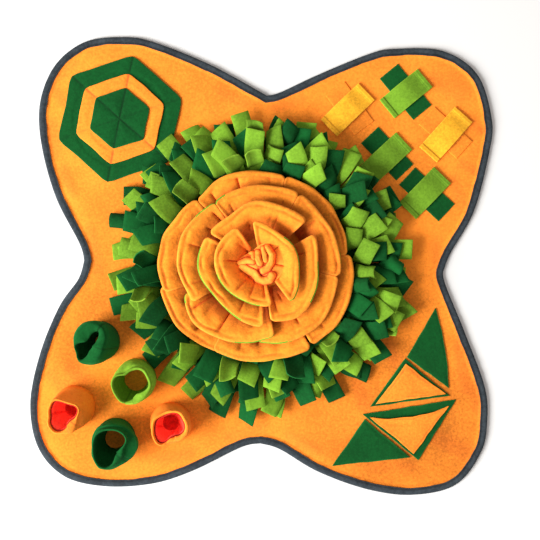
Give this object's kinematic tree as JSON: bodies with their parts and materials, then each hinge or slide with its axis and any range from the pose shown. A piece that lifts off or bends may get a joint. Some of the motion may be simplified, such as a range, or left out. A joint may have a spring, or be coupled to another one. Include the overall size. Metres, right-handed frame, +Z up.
{
  "type": "snuffle mat",
  "caption": "Four-lobed felt foraging mat with a fleece rosette, a strip fringe, cups, straps and pockets that hide treats.",
  "frame": {"origin": "on the floor under the middle of the mat's outline", "axes": "+Z up out of the mat's face, +X towards the straps and triangle pockets, +Y towards the hexagon and straps"},
  "size_m": [0.7032, 0.6962, 0.0635],
  "materials": {
    "mat_orange": "matt felt",
    "binding_grey": "matt fleece",
    "felt_dark_green": "matt felt",
    "felt_lime": "matt felt",
    "felt_yellow": "matt felt",
    "petal_orange": "brushed fleece",
    "lining_red": "brushed fleece"
  },
  "bodies": {
    "root": {"cross_1_over": "felt_lime", "cross_1_under": "felt_dark_green", "cross_2_over": "felt_yellow", "cross_2_under": "mat_orange", "cross_3_over": "felt_yellow", "cross_3_under": "mat_orange", "cross_4_over": "felt_lime", "cross_4_under": "felt_dark_green", "cross_5_over": "felt_lime", "cross_5_under": "felt_dark_green", "cup_left_orange": "mat_orange", "cup_left_orange_lining": "lining_red", "cup_lime": "felt_lime", "cup_lower_green": "felt_dark_green", "cup_right_orange": "mat_orange", "cup_right_orange_lining": "lining_red", "cup_upper_green": "felt_dark_green", "edge_binding": "binding_grey", "fringe_1": "felt_dark_green", "fringe_2": "felt_lime", "fringe_3": "felt_dark_green", "fringe_4": "felt_lime", "fringe_5": "felt_dark_green", "fringe_6": "felt_lime", "fringe_7": "felt_dark_green", "fringe_8": "felt_lime", "hex_layer_large": "felt_dark_green", "hex_layer_middle": "mat_orange", "hex_layer_small": "felt_dark_green", "mat_base": "mat_orange", "petal_b1": "petal_orange", "petal_b2": "petal_orange", "petal_c1": "petal_orange", "petal_c2": "petal_orange", "petal_c3": "petal_orange", "petal_d1": "petal_orange", "petal_d2": "petal_orange", "petal_d3": "petal_orange", "petal_d4": "petal_orange", "petal_d5": "petal_orange", "petal_e1": "petal_orange", "petal_e2": "petal_orange", "petal_e3": "petal_orange", "petal_e4": "petal_orange", "petal_e5": "petal_orange", "petal_e6": "petal_orange", "pocket_a_base": "felt_dark_green", "pocket_b_base": "felt_dark_green", "pocket_b_flap": "mat_orange", "pocket_c_base": "felt_dark_green", "pocket_c_flap": "mat_orange", "pocket_d_base": "felt_dark_green", "rosette_knot": "petal_orange"}
  },
  "joints": []
}
